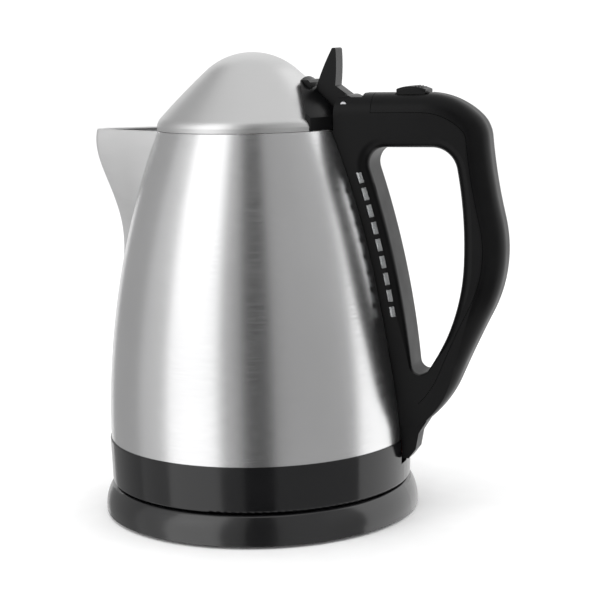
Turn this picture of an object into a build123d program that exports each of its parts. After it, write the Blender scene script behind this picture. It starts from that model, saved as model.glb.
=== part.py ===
"""Cordless electric kettle with its power base, as separate pieces.

Millimetres, +Z up. The origin is the centre of the base, on the table.
+X points at the handle, -X at the spout.
"""
import os
from math import atan2, cos, radians, sin, sqrt, tan

from build123d import *

os.makedirs("parts", exist_ok=True)

# ---------------------------------------------------------------- driving sizes
# power base
base_radius = 78.0
foot_height = 1.5
deck_height = 15.2
base_wall = 2.4
skirt_slope = 5.4
plate_thickness = 2.2
foot_ring_inset = 8.0
foot_ring_width = 6.0
foot_ring_sink = 0.8

# connector between base and kettle
post_radius = 8.0
post_top = 25.0
well_radius = 19.0
well_floor = 6.0
connector_radius = 26.0
skirt_wall = 3.4
shutter_thickness = 2.8

# kettle body
band_gap = 0.7
band_top = 38.0
band_proud = 0.5
body_radius = 74.5
mouth_radius = 46.5
rim_height = 188.0
steel = 0.8
flange_drop = 4.8
flange_width = 10.6
cover_thickness = 2.0
seal_thickness = 1.2
diffuser_radius = 56.0
diffuser_thickness = 3.0
element_radius = 42.0
element_size = 6.0
control_radius = 22.0

# spout stations: drop below the rim, reach off the wall, half width, nose radius
spout_stations = (
    (92.0, 0.2, 2.4, 1.6),
    (60.0, 7.2, 9.0, 2.6),
    (36.0, 17.0, 16.0, 3.6),
    (18.0, 29.6, 21.0, 4.4),
    (0.6, 37.3, 24.0, 5.0),
)

# lid
lid_rise = 36.6
lid_gap = 0.3
cap_radius = 33.0
cap_edge = 22.0
hinge_reach = 4.0
hinge_rise = 11.5
pin_radius = 1.5
knuckle_radius = 4.5
knuckle_half = 8.4
lever_half = 4.8

# handle
handle_half = 13.0
arm_rise = 16.8
arm_drop = 8.4
spine_depth = 8.6
recess_radius = 8.5
cover_depth = 9.0
handle_wall = 2.6
foot_drop = 8.7
foot_half = 5.0
gauge_start = 62.0
gauge_end = 20.0
gauge_front = 3.0
gauge_back = 5.3
wire_radius = 0.8
wire_depth = 6.3
wire_spacing = 2.2

# switch
switch_reach = 7.5
switch_sink = 5.0
switch_half = 6.4
trip_reach = 6.0
trip_drop = 9.3
cheek_wall = 1.2

# fits
running = 0.06
slip = 0.2
clear = 0.3
snug = 0.05

# ---------------------------------------------------------------- worked out
deck_edge_radius = base_radius - skirt_slope
foot_ring_radius = base_radius - foot_ring_inset
band_radius = body_radius + band_proud
flange_height = band_top - flange_drop
body_rise = rim_height - band_top
body_taper = body_radius - mouth_radius
arc_radius = (body_rise**2 + body_taper**2) / (2 * body_taper)
arc_x = body_radius - arc_radius
lid_top = rim_height + lid_rise
lid_bottom = rim_height + lid_gap
lid_radius = mouth_radius
hinge_x = mouth_radius + hinge_reach
hinge_z = rim_height + hinge_rise
arm_top = rim_height + arm_rise
arm_bottom = rim_height - arm_drop
foot_bottom = band_top - foot_drop
gauge_bottom = band_top + gauge_start
gauge_top = rim_height - gauge_end
switch_x = body_radius + switch_reach
switch_z = arm_top - switch_sink
trip_x = switch_x + trip_reach
trip_z = switch_z - trip_drop
cheek_inner = switch_half + 0.4
cheek_outer = cheek_inner + cheek_wall
seat_height = deck_height
cover_bottom = seat_height + 0.5
cover_top = cover_bottom + cover_thickness
joggle_radius = body_radius - 1.9
flange_inner = joggle_radius - flange_width
plate_bottom = flange_height + steel + seal_thickness
diffuser_bottom = plate_bottom - diffuser_thickness
element_bottom = diffuser_bottom - element_size
skirt_inner = post_radius + 0.6
skirt_outer = skirt_inner + skirt_wall
shutter_inner = skirt_outer + clear
shutter_outer = well_radius - clear
shutter_top = deck_height - slip


def wall_x(z, depth=0.0):
    """Radius of the steel body at height z, plus a depth measured outward."""
    return arc_x + sqrt((arc_radius + depth) ** 2 - (z - band_top) ** 2)


def off_body(reach, share):
    """Side view point: reach beyond the body's foot radius, share of the way up to the rim."""
    return (body_radius + reach, band_top + share * body_rise)


def cross_slots():
    """Cross recess of a screw head, as two rectangles on the working plane."""
    Rectangle(slot_length, slot_width)
    Rectangle(slot_width, slot_length)


# ================================================================ power base
screw_ring = 55.0
screw_head = 3.0
screw_shank = 1.45
screw_head_height = 1.0
screw_sink = 0.2
counterbore = screw_sink + screw_head_height
slot_length = 3.2
slot_width = 0.7
slot_depth = 0.6
boss_radius = 3.6

with BuildPart() as foot_ring:
    with BuildSketch(Plane.XY):
        Circle(foot_ring_radius + foot_ring_width / 2)
        Circle(foot_ring_radius - foot_ring_width / 2, mode=Mode.SUBTRACT)
    extrude(amount=foot_height + foot_ring_sink)
    chamfer(foot_ring.edges().group_by(Axis.Z)[0], 0.5)
foot_ring.part.label = "foot_ring"
export_step(foot_ring.part, "parts/foot_ring.step")

plate_radius = base_radius - base_wall - slip
plate_top = foot_height + plate_thickness

with BuildPart() as base_bottom_plate:
    with BuildSketch(Plane.XY.offset(foot_height)):
        Circle(plate_radius)
    extrude(amount=plate_thickness)
    with BuildSketch(Plane.XY.offset(foot_height)):
        Circle(foot_ring_radius + foot_ring_width / 2 + snug)
        Circle(foot_ring_radius - foot_ring_width / 2 - snug, mode=Mode.SUBTRACT)
    extrude(amount=foot_ring_sink + snug, mode=Mode.SUBTRACT)
    with Locations(Plane.XY.offset(foot_height)):
        with PolarLocations(screw_ring, 4, start_angle=45):
            Hole(screw_shank + slip)
    with BuildSketch(Plane.XY.offset(foot_height)):
        with PolarLocations(screw_ring, 4, start_angle=45):
            Circle(screw_head + slip)
    extrude(amount=counterbore, mode=Mode.SUBTRACT)
base_bottom_plate.part.label = "base_bottom_plate"
export_step(base_bottom_plate.part, "parts/base_bottom_plate.step")

skirt_top = deck_height - 1.3
gland_height = 8.6
gland_radius = 4.4

with BuildPart() as base_top_shell:
    with BuildSketch(Plane.XZ):
        with BuildLine():
            outer = Line((base_radius, foot_height), (base_radius, foot_height + 2))
            side = TangentArc(outer @ 1, (deck_edge_radius + 2.2, skirt_top), tangent=outer % 1)
            shoulder = TangentArc((deck_edge_radius, deck_height), side @ 1, tangent=(1, 0))
            deck = Line(shoulder @ 0, (connector_radius + slip, deck_height))
            lip = Line(deck @ 1, (connector_radius + slip, deck_height - base_wall))
            under = Line(lip @ 1, (deck_edge_radius - 0.6, deck_height - base_wall))
            inner = Line(under @ 1, (base_radius - base_wall, foot_height + 2))
            Polyline(inner @ 1, (base_radius - base_wall, foot_height), outer @ 0)
        make_face()
    revolve(axis=Axis.Z)
    with BuildSketch(Plane.XY.offset(plate_top)):
        with PolarLocations(screw_ring, 4, start_angle=45):
            Circle(boss_radius)
    extrude(amount=deck_height - base_wall - plate_top)
    with BuildSketch(Plane.XY.offset(plate_top)):
        with PolarLocations(screw_ring, 4, start_angle=45):
            Circle(screw_shank + snug)
    extrude(amount=8, mode=Mode.SUBTRACT)
    with BuildSketch(Plane.XZ.offset(-base_radius - 1)):
        with Locations((0, gland_height)):
            Circle(gland_radius + snug)
    extrude(amount=10, mode=Mode.SUBTRACT)
base_top_shell.part.label = "base_top_shell"
export_step(base_top_shell.part, "parts/base_top_shell.step")

with BuildPart() as base_screws:
    with BuildSketch(Plane.XY.offset(foot_height + screw_sink)):
        with PolarLocations(screw_ring, 4, start_angle=45):
            Circle(screw_head)
    extrude(amount=screw_head_height)
    with BuildSketch(Plane.XY.offset(foot_height + counterbore)):
        with PolarLocations(screw_ring, 4, start_angle=45):
            Circle(screw_shank)
    extrude(amount=8)
    with BuildSketch(Plane.XY.offset(foot_height + screw_sink)):
        with PolarLocations(screw_ring, 4, start_angle=45):
            cross_slots()
    extrude(amount=slot_depth, mode=Mode.SUBTRACT)
base_screws.part.label = "base_screws"
export_step(base_screws.part, "parts/base_screws.step")

connector_flange = connector_radius + 3.0
contact_radii = (10.5, 15.5)
contact_width = 1.6
contact_height = 1.2
earth_pin_radius = 1.6

with BuildPart() as base_connector:
    with BuildSketch(Plane.XY.offset(plate_top + clear)):
        Circle(connector_radius)
    extrude(amount=deck_height - plate_top - clear)
    with BuildSketch(Plane.XY.offset(deck_height - base_wall - 2.0)):
        Circle(connector_flange)
    extrude(amount=2.0)
    with BuildSketch(Plane.XY.offset(well_floor)):
        Circle(well_radius)
        Circle(post_radius, mode=Mode.SUBTRACT)
    extrude(amount=deck_height - well_floor, mode=Mode.SUBTRACT)
    with BuildSketch(Plane.XY.offset(deck_height)):
        Circle(post_radius)
    extrude(amount=post_top - deck_height)
    chamfer(base_connector.edges().group_by(Axis.Z)[-1], 1.2)
    with BuildSketch(Plane.XY.offset(post_top)):
        Circle(earth_pin_radius + snug)
    extrude(amount=-14, mode=Mode.SUBTRACT)
base_connector.part.label = "base_connector"
export_step(base_connector.part, "parts/base_connector.step")

with BuildPart() as base_contacts:
    with BuildSketch(Plane.XY.offset(post_top - 13)):
        Circle(earth_pin_radius)
    extrude(amount=13.6)
    fillet(base_contacts.edges().group_by(Axis.Z)[-1], 0.6)
    for radius in contact_radii:
        with BuildSketch(Plane.XY.offset(well_floor)):
            Circle(radius + contact_width / 2)
            Circle(radius - contact_width / 2, mode=Mode.SUBTRACT)
        extrude(amount=contact_height)
base_contacts.part.label = "base_contacts"
export_step(base_contacts.part, "parts/base_contacts.step")

with BuildPart() as contact_shutter:
    with BuildSketch(Plane.XY.offset(shutter_top - shutter_thickness)):
        Circle(shutter_outer)
        Circle(shutter_inner, mode=Mode.SUBTRACT)
    extrude(amount=shutter_thickness)
    chamfer(contact_shutter.edges().group_by(Axis.Z)[-1], 0.5)
contact_shutter.part.label = "contact_shutter"
export_step(contact_shutter.part, "parts/contact_shutter.step")

gland_flange = 6.0
gland_bore = 3.6
gland_length = 10.4
gland_face = base_radius + 1.4
gland_inside = deck_edge_radius - 1.4
gland_ear_half = deck_height - base_wall - gland_height - 0.1

with BuildPart() as cord_gland:
    with BuildSketch(Plane.XZ.offset(-gland_face)):
        with Locations((0, gland_height)):
            Circle(gland_radius)
    extrude(amount=gland_length)
    with BuildSketch(Plane.XZ.offset(-gland_face)):
        with Locations((0, gland_height)):
            Circle(gland_flange)
    extrude(amount=1.2)
    with BuildSketch(Plane.XZ.offset(-gland_inside)):
        with Locations((0, gland_height)):
            Circle(gland_flange)
            Rectangle(2 * gland_flange, 2 * gland_ear_half, mode=Mode.INTERSECT)
    extrude(amount=1.6)
    with BuildSketch(Plane.XZ.offset(-gland_face)):
        with Locations((0, gland_height)):
            Circle(gland_bore)
    extrude(amount=gland_length, mode=Mode.SUBTRACT)
cord_gland.part.label = "cord_gland"
export_step(cord_gland.part, "parts/cord_gland.step")

# ================================================================ kettle body
with BuildPart() as body_envelope:
    with BuildSketch(Plane.XZ):
        with BuildLine():
            side = RadiusArc((body_radius, band_top), (mouth_radius, rim_height), -arc_radius)
            Polyline(side @ 1, (0, rim_height), (0, band_top), side @ 0)
        make_face()
    revolve(axis=Axis.Z)

spout_back = 30.0


def spout_section(drop, off_wall, half_width, nose, inset):
    """V outline of the beak at one height: rounded nose, straight flanks, flat back."""
    height = rim_height - drop
    reach = wall_x(height) + off_wall
    angle = atan2(half_width - nose, reach - nose - sqrt(wall_x(height) ** 2 - half_width**2))
    centre = reach - nose
    radius = nose - inset
    touch_x = -centre - radius * sin(angle)
    touch_y = radius * cos(angle)
    back_y = touch_y - (spout_back + touch_x) * tan(angle)
    with BuildSketch(Plane.XY.offset(height)) as section:
        with BuildLine():
            nose_arc = ThreePointArc((touch_x, touch_y), (-reach + inset, 0), (touch_x, -touch_y))
            Polyline(nose_arc @ 1, (-spout_back, -back_y), (-spout_back, back_y), nose_arc @ 0)
        make_face()
    return section.sketch


with BuildPart() as spout_outer_volume:
    loft([spout_section(*station, 0.0) for station in spout_stations])

with BuildPart() as spout_inner_volume:
    loft([spout_section(*station, steel) for station in spout_stations])

with BuildPart() as spout:
    add(spout_outer_volume.part)
    add(spout_inner_volume.part, mode=Mode.SUBTRACT)
    add(body_envelope.part, mode=Mode.SUBTRACT)
spout.part.label = "spout"
export_step(spout.part, "parts/spout.step")

gauge_port_radius = 2.6
gauge_ports = 4
steam_port_height = rim_height - 4.0
steam_port_radius = 2.0
joggle_top = band_top - 0.6

with BuildPart() as body_shell:
    with BuildSketch(Plane.XZ):
        with BuildLine():
            side = RadiusArc((body_radius, band_top), (mouth_radius, rim_height), -arc_radius)
            inside = RadiusArc(
                (mouth_radius - steel, rim_height),
                (body_radius - steel, band_top),
                arc_radius - steel,
            )
            Line(side @ 1, inside @ 0)
            Polyline(
                side @ 0,
                (joggle_radius, joggle_top),
                (joggle_radius, flange_height),
                (flange_inner, flange_height),
                (flange_inner, flange_height + steel),
                (joggle_radius - steel, flange_height + steel),
                (joggle_radius - steel, joggle_top + 0.2),
                inside @ 1,
            )
        make_face()
    revolve(axis=Axis.Z)
    add(spout_inner_volume.part, mode=Mode.SUBTRACT)
    for port in range(gauge_ports):
        height = gauge_bottom + 8 + port * (gauge_top - gauge_bottom - 16) / (gauge_ports - 1)
        with BuildSketch(Plane.YZ.offset(mouth_radius)):
            with Locations((0, height)):
                Circle(gauge_port_radius)
        extrude(amount=body_radius - mouth_radius, mode=Mode.SUBTRACT)
    with BuildSketch(Plane.YZ.offset(mouth_radius - 6)):
        with Locations((0, steam_port_height)):
            Circle(steam_port_radius)
    extrude(amount=12, mode=Mode.SUBTRACT)
body_shell.part.label = "body_shell"
export_step(body_shell.part, "parts/body_shell.step")

# ================================================================ kettle underside
band_bottom = seat_height + band_gap
band_inner = joggle_radius + snug + 0.03
band_skirt_inner = joggle_radius - 0.6
ledge_inner = band_radius - 9.0
ledge_top = flange_height - 0.1
ledge_bottom = ledge_top - 2.0
under_screw_ring = band_radius - 8.0
wire_slot_half = 4.2
wire_start_height = 22.0
cover_boss_gap = 0.2

with BuildPart() as body_band:
    with BuildSketch(Plane.XZ):
        with BuildLine():
            bottom = Line((band_skirt_inner, band_bottom), (band_radius - 1.8, band_bottom))
            corner = TangentArc(
                bottom @ 1, (band_radius - 0.6, band_bottom + 1.2), tangent=bottom % 1
            )
            side = Line(corner @ 1, (band_radius, band_top - 0.5))
            Polyline(
                side @ 1,
                (band_radius - 0.2, band_top - 0.05),
                (body_radius + 0.06, band_top - 0.05),
                (band_inner, joggle_top - 0.08),
                (band_inner, ledge_top),
                (ledge_inner, ledge_top),
                (ledge_inner, ledge_bottom),
                (band_skirt_inner, ledge_bottom),
                bottom @ 0,
            )
        make_face()
    revolve(axis=Axis.Z)
    with BuildSketch(Plane.XY.offset(cover_top + cover_boss_gap)):
        with PolarLocations(under_screw_ring, 3, start_angle=60):
            Circle(boss_radius)
    extrude(amount=ledge_top - cover_top - cover_boss_gap)
    with BuildSketch(Plane.XY.offset(cover_top + cover_boss_gap)):
        with PolarLocations(under_screw_ring, 3, start_angle=60):
            Circle(screw_shank + snug)
    extrude(amount=10, mode=Mode.SUBTRACT)
    with BuildSketch(Plane.XY.offset(wire_start_height + 4)):
        with Locations((band_radius - 5, 0)):
            Rectangle(20, 2 * wire_slot_half)
    extrude(amount=joggle_top - 0.8 - wire_start_height - 4, mode=Mode.SUBTRACT)
body_band.part.label = "body_band"
export_step(body_band.part, "parts/body_band.step")

plate_outer = joggle_radius - steel - 0.5

with BuildPart() as plate_seal:
    with BuildSketch(Plane.XY.offset(flange_height + steel)):
        Circle(plate_outer)
        Circle(flange_inner + 1.0, mode=Mode.SUBTRACT)
    extrude(amount=seal_thickness)
plate_seal.part.label = "plate_seal"
export_step(plate_seal.part, "parts/plate_seal.step")

with BuildPart() as heater_plate:
    with BuildSketch(Plane.XY.offset(plate_bottom)):
        Circle(plate_outer)
    extrude(amount=steel)
heater_plate.part.label = "heater_plate"
export_step(heater_plate.part, "parts/heater_plate.step")

with BuildPart() as heat_diffuser:
    with BuildSketch(Plane.XY.offset(diffuser_bottom)):
        Circle(diffuser_radius)
    extrude(amount=diffuser_thickness)
    chamfer(heat_diffuser.edges().group_by(Axis.Z)[0], 1.0)
heat_diffuser.part.label = "heat_diffuser"
export_step(heat_diffuser.part, "parts/heat_diffuser.step")

element_gap = 60.0
element_plane = Plane(
    origin=(0, 0, 0),
    x_dir=(cos(radians(element_gap / 2)), sin(radians(element_gap / 2)), 0),
    z_dir=(sin(radians(element_gap / 2)), -cos(radians(element_gap / 2)), 0),
)
cold_pin_radius = 1.3

with BuildPart() as heating_element:
    with BuildSketch(element_plane):
        with Locations((element_radius, diffuser_bottom - element_size / 2)):
            Rectangle(element_size + 1, element_size)
    revolve(axis=Axis.Z, revolution_arc=360 - element_gap)
    with BuildSketch(Plane.XY.offset(element_bottom)):
        for turn in (-1, 1):
            angle = turn * radians(element_gap / 2 + 3)
            with Locations((element_radius * cos(angle), element_radius * sin(angle))):
                Circle(cold_pin_radius)
    extrude(amount=-5)
heating_element.part.label = "heating_element"
export_step(heating_element.part, "parts/heating_element.step")

socket_radius = 14.0
socket_roof = post_top + 1.6
socket_top = socket_roof + 1.4
connector_disc = 20.8
disc_top = cover_bottom + 1.8
skirt_bottom = well_floor + contact_height + 0.4

with BuildPart() as kettle_connector:
    with BuildSketch(Plane.XY.offset(skirt_bottom)):
        Circle(skirt_outer)
    extrude(amount=cover_bottom - skirt_bottom)
    with BuildSketch(Plane.XY.offset(cover_bottom)):
        Circle(connector_disc)
    extrude(amount=disc_top - cover_bottom)
    with BuildSketch(Plane.XY.offset(disc_top)):
        Circle(socket_radius)
    extrude(amount=socket_top - disc_top)
    with BuildSketch(Plane.XY.offset(skirt_bottom)):
        Circle(skirt_inner)
    extrude(amount=socket_roof - skirt_bottom, mode=Mode.SUBTRACT)
kettle_connector.part.label = "kettle_connector"
export_step(kettle_connector.part, "parts/kettle_connector.step")

blade_width = 6.3
blade_thickness = 0.8

with BuildPart() as connector_contacts:
    with BuildSketch(Plane.XY.offset(disc_top)):
        with PolarLocations(socket_radius + snug + blade_thickness / 2, 3, start_angle=60):
            Rectangle(blade_thickness, blade_width)
    extrude(amount=socket_top - disc_top)
connector_contacts.part.label = "connector_contacts"
export_step(connector_contacts.part, "parts/connector_contacts.step")

bimetal_radius = 6.0
bimetal_thickness = 0.4
bimetal_pocket = 0.8
bimetal_offset = 13.0
terminal_inner = 16.0
terminal_outer = 26.0
terminal_bottom = 19.5

with BuildPart() as control_unit:
    with BuildSketch(Plane.XY.offset(socket_top)):
        Circle(control_radius)
    extrude(amount=diffuser_bottom - socket_top)
    with BuildSketch(Plane.XY.offset(terminal_bottom)):
        with Locations(((terminal_inner + terminal_outer) / 2, 0)):
            Rectangle(terminal_outer - terminal_inner, 14)
    extrude(amount=diffuser_bottom - 1.5 - terminal_bottom)
    with BuildSketch(Plane.XY.offset(diffuser_bottom)):
        with Locations((0, bimetal_offset), (0, -bimetal_offset)):
            Circle(bimetal_radius + slip)
    extrude(amount=-bimetal_pocket, mode=Mode.SUBTRACT)
control_unit.part.label = "control_unit"
export_step(control_unit.part, "parts/control_unit.step")

with BuildPart() as control_bimetals:
    with BuildSketch(Plane.XY.offset(diffuser_bottom - bimetal_pocket)):
        with Locations((0, bimetal_offset), (0, -bimetal_offset)):
            Circle(bimetal_radius)
    extrude(amount=bimetal_thickness)
control_bimetals.part.label = "control_bimetals"
export_step(control_bimetals.part, "parts/control_bimetals.step")

rest_ring_outer = 63.0
rest_ring_inner = 58.0

with BuildPart() as underside_cover:
    with BuildSketch(Plane.XY.offset(cover_bottom)):
        Circle(band_skirt_inner - slip)
        Circle(connector_disc + slip, mode=Mode.SUBTRACT)
    extrude(amount=cover_thickness)
    with BuildSketch(Plane.XY.offset(seat_height)):
        Circle(rest_ring_outer)
        Circle(rest_ring_inner, mode=Mode.SUBTRACT)
    extrude(amount=cover_bottom - seat_height)
    with BuildSketch(Plane.XY.offset(cover_bottom)):
        with PolarLocations(under_screw_ring, 3, start_angle=60):
            Circle(screw_head + slip)
    extrude(amount=counterbore, mode=Mode.SUBTRACT)
    with BuildSketch(Plane.XY.offset(cover_bottom)):
        with PolarLocations(under_screw_ring, 3, start_angle=60):
            Circle(screw_shank + slip)
    extrude(amount=cover_thickness, mode=Mode.SUBTRACT)
underside_cover.part.label = "underside_cover"
export_step(underside_cover.part, "parts/underside_cover.step")

with BuildPart() as underside_screws:
    with BuildSketch(Plane.XY.offset(cover_bottom + screw_sink)):
        with PolarLocations(under_screw_ring, 3, start_angle=60):
            Circle(screw_head)
    extrude(amount=screw_head_height)
    with BuildSketch(Plane.XY.offset(cover_bottom + counterbore)):
        with PolarLocations(under_screw_ring, 3, start_angle=60):
            Circle(screw_shank)
    extrude(amount=10)
    with BuildSketch(Plane.XY.offset(cover_bottom + screw_sink)):
        with PolarLocations(under_screw_ring, 3, start_angle=60):
            cross_slots()
    extrude(amount=slot_depth, mode=Mode.SUBTRACT)
underside_screws.part.label = "underside_screws"
export_step(underside_screws.part, "parts/underside_screws.step")

# ================================================================ lid
dome_centre = lid_top - cap_radius
dome_knee = (lid_radius - 1.9, lid_bottom + 5.7)
dome_edge = (lid_radius, lid_bottom + 2.0)


def dome_profile(grow, bottom):
    """Half section of the dome, grown outward, closed down to a flat bottom."""
    cap_z = sqrt(cap_radius**2 - cap_edge**2)
    scale = (cap_radius + grow) / cap_radius
    with BuildSketch(Plane.XZ) as section:
        with BuildLine():
            cap = RadiusArc(
                (0, lid_top + grow),
                (cap_edge * scale, dome_centre + cap_z * scale),
                cap_radius + grow,
            )
            slope = TangentArc(
                cap @ 1,
                (dome_knee[0] + grow * 0.72, dome_knee[1] + grow * 0.69),
                tangent=cap % 1,
            )
            knee = TangentArc(slope @ 1, (dome_edge[0] + grow, dome_edge[1]), tangent=slope % 1)
            Polyline(knee @ 1, (dome_edge[0] + grow, bottom), (0, bottom), cap @ 0)
        make_face()
    return section.sketch


with BuildPart() as lid_dome:
    add(dome_profile(0, lid_bottom))
    revolve(axis=Axis.Z)
    add(dome_profile(-steel, lid_bottom))
    revolve(axis=Axis.Z, mode=Mode.SUBTRACT)
lid_dome.part.label = "lid_dome"
export_step(lid_dome.part, "parts/lid_dome.step")

collar_radius = mouth_radius - 3.9
collar_bottom = rim_height - 9.5
collar_wall = 2.0
liner_flange = lid_radius - steel - 0.1
liner_flange_top = lid_bottom + 1.8
liner_floor = rim_height - 2.0
lid_screw_ring = 30.0
lid_seal_outer = mouth_radius - steel - 0.5

with BuildPart() as lid_liner:
    with BuildSketch(Plane.XZ):
        with BuildLine():
            Polyline(
                (0, liner_floor),
                (collar_radius - collar_wall, liner_floor),
                (collar_radius - collar_wall, collar_bottom),
                (collar_radius, collar_bottom),
                (collar_radius, lid_bottom),
                (liner_flange, lid_bottom),
                (liner_flange, liner_flange_top),
                (0, liner_flange_top),
                (0, liner_floor),
            )
        make_face()
    revolve(axis=Axis.Z)
    with BuildSketch(Plane.XY.offset(liner_flange_top)):
        with PolarLocations(lid_screw_ring, 3, start_angle=60):
            Circle(boss_radius)
    extrude(amount=8)
    with BuildSketch(Plane.XY.offset(liner_floor)):
        with PolarLocations(lid_screw_ring, 3, start_angle=60):
            Circle(screw_shank + snug)
    extrude(amount=11, mode=Mode.SUBTRACT)
    with BuildSketch(Plane.XY.offset(liner_floor)):
        with PolarLocations(lid_screw_ring, 3, start_angle=60):
            Circle(screw_head + slip)
    extrude(amount=counterbore, mode=Mode.SUBTRACT)
lid_liner.part.label = "lid_liner"
export_step(lid_liner.part, "parts/lid_liner.step")

with BuildPart() as lid_seal:
    with BuildSketch(Plane.XY.offset(lid_bottom - 2.2)):
        Circle(lid_seal_outer)
        Circle(collar_radius + snug, mode=Mode.SUBTRACT)
    extrude(amount=2.15)
    chamfer(lid_seal.edges().group_by(Axis.Z)[0].sort_by(SortBy.LENGTH)[-1], 0.8)
lid_seal.part.label = "lid_seal"
export_step(lid_seal.part, "parts/lid_seal.step")

with BuildPart() as lid_screws:
    with BuildSketch(Plane.XY.offset(liner_floor + screw_sink)):
        with PolarLocations(lid_screw_ring, 3, start_angle=60):
            Circle(screw_head)
    extrude(amount=screw_head_height)
    with BuildSketch(Plane.XY.offset(liner_floor + counterbore)):
        with PolarLocations(lid_screw_ring, 3, start_angle=60):
            Circle(screw_shank)
    extrude(amount=8)
    with BuildSketch(Plane.XY.offset(liner_floor + screw_sink)):
        with PolarLocations(lid_screw_ring, 3, start_angle=60):
            cross_slots()
    extrude(amount=slot_depth, mode=Mode.SUBTRACT)
lid_screws.part.label = "lid_screws"
export_step(lid_screws.part, "parts/lid_screws.step")

hinge_cover_thickness = 2.2
fan_front = 29.0
fan_front_half = 10.7
fan_side_x = 36.8
fan_side_half = 26.0
brow_front = 28.6
brow_back = 34.2
brow_top = hinge_z + 11.7
brow_foot = hinge_z + 5.5

with BuildPart() as lid_hinge_cover:
    add(dome_profile(hinge_cover_thickness, lid_bottom))
    revolve(axis=Axis.Z)
    with BuildSketch(Plane.XY.offset(lid_bottom)):
        with BuildLine():
            Polyline(
                (fan_front, fan_front_half),
                (fan_side_x, fan_side_half),
                (fan_side_x + 20, fan_side_half),
                (fan_side_x + 20, -fan_side_half),
                (fan_side_x, -fan_side_half),
                (fan_front, -fan_front_half),
                (fan_front, fan_front_half),
            )
        make_face()
    extrude(amount=lid_top, mode=Mode.INTERSECT)
    with BuildSketch(Plane.XY.offset(lid_bottom)):
        Circle(lid_radius + 0.6)
    extrude(amount=lid_top, mode=Mode.INTERSECT)
    with BuildSketch(Plane.XZ):
        with BuildLine():
            Polyline(
                (brow_front, brow_foot),
                (brow_front, brow_top - 1.0),
                (brow_front + 0.8, brow_top),
                (brow_back - 1.6, brow_top),
                (brow_back - 0.6, brow_top - 1.2),
                (brow_back, brow_foot),
                (brow_front, brow_foot),
            )
        make_face()
    extrude(amount=fan_front_half - 1, both=True)
    with BuildSketch(Plane.XZ):
        with BuildLine():
            front = ThreePointArc(
                (hinge_x - 16.1, hinge_z + 6.5),
                (hinge_x - 13.1, hinge_z + 14.7),
                (hinge_x - 7.9, hinge_z + 25.5),
            )
            tip = ThreePointArc(
                front @ 1, (hinge_x - 6.9, hinge_z + 26.5), (hinge_x - 5.6, hinge_z + 25.7)
            )
            back = ThreePointArc(
                tip @ 1, (hinge_x - 5.5, hinge_z + 16.5), (hinge_x - 6.1, hinge_z + 8.9)
            )
            web = Line(back @ 1, (hinge_x, hinge_z + knuckle_radius))
            Polyline(
                web @ 1,
                (hinge_x, hinge_z - knuckle_radius),
                (hinge_x - 10.5, hinge_z - 7.5),
                front @ 0,
            )
        make_face()
    extrude(amount=lever_half, both=True)
    with BuildSketch(Plane.XZ):
        with Locations((hinge_x, hinge_z)):
            Circle(knuckle_radius)
    extrude(amount=knuckle_half, both=True)
    with BuildSketch(Plane.XZ):
        with Locations((hinge_x, hinge_z)):
            Circle(pin_radius + running)
    extrude(amount=knuckle_half + 1, both=True, mode=Mode.SUBTRACT)
    add(dome_profile(snug, lid_bottom - 1))
    revolve(axis=Axis.Z, mode=Mode.SUBTRACT)
lid_hinge_cover.part.label = "lid_hinge_cover"
export_step(lid_hinge_cover.part, "parts/lid_hinge_cover.step")

with BuildPart() as hinge_pin:
    with BuildSketch(Plane.XZ):
        with Locations((hinge_x, hinge_z)):
            Circle(pin_radius)
    extrude(amount=handle_half - 1.5, both=True)
hinge_pin.part.label = "hinge_pin"
export_step(hinge_pin.part, "parts/hinge_pin.step")

# ================================================================ handle
shoulder_start = (body_radius + 13.5, arm_top)
shoulder_end = (body_radius + 39.1, arm_top - 10.2)
crown = (body_radius + 44.1, arm_top - 20.6)
grip_far = off_body(50.0, 0.727)
grip_low = off_body(44.3, 0.423)
tail = off_body(29.1, 0.211)
tail_end = off_body(11.5, 0.06)
outer_round = 10.0
hole_round = 5.0
roof_end = (body_radius + 28.0, arm_bottom)
hole_rear = off_body(32.5, 0.747)
hole_rear_middle = off_body(32.8, 0.58)
hole_rear_low = off_body(21.5, 0.31)
hole_tip_z = band_top + 26.0
hole_tip_round = 4.5
hole_rear_round = 12.0
hole_front_round = 8.0
body_clearance = 0.15
band_clearance = 0.3
lid_clearance = 1.1
taper_start = band_top + 78.0
taper_end = band_top + 7.0
foot_inner = body_radius - 12.5
foot_top = band_top + 14.0
foot_profile = (
    (foot_inner, foot_bottom),
    (body_radius + 3.9, foot_bottom),
    (body_radius + 7.5, foot_bottom + 4.7),
    (body_radius + 9.1, foot_bottom + 12.7),
    (body_radius + 15.5, foot_top),
    (foot_inner, foot_top),
    (foot_inner, foot_bottom),
)


def outer_outline():
    """Side outline of the whole handle, carried on inside the steel body."""
    with BuildSketch(Plane.XZ) as section:
        with BuildLine():
            top = Line((30, arm_top), shoulder_start)
            shoulder = TangentArc(top @ 1, shoulder_end, tangent=top % 1)
            bend = TangentArc(shoulder @ 1, crown, tangent=shoulder % 1)
            grip = TangentArc(bend @ 1, grip_far, tangent=bend % 1)
            lower = TangentArc(grip @ 1, grip_low, tangent=grip % 1)
            tail_arc = TangentArc(lower @ 1, tail, tangent=lower % 1)
            tail_line = TangentArc(tail_arc @ 1, tail_end, tangent=tail_arc % 1)
            run_in = Line(tail_line @ 1, tail_line @ 1 + (tail_line % 1) * 30)
            Polyline(run_in @ 1, (40, foot_bottom - 4), (20, taper_start), top @ 0)
        make_face()
    return section.sketch


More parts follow.
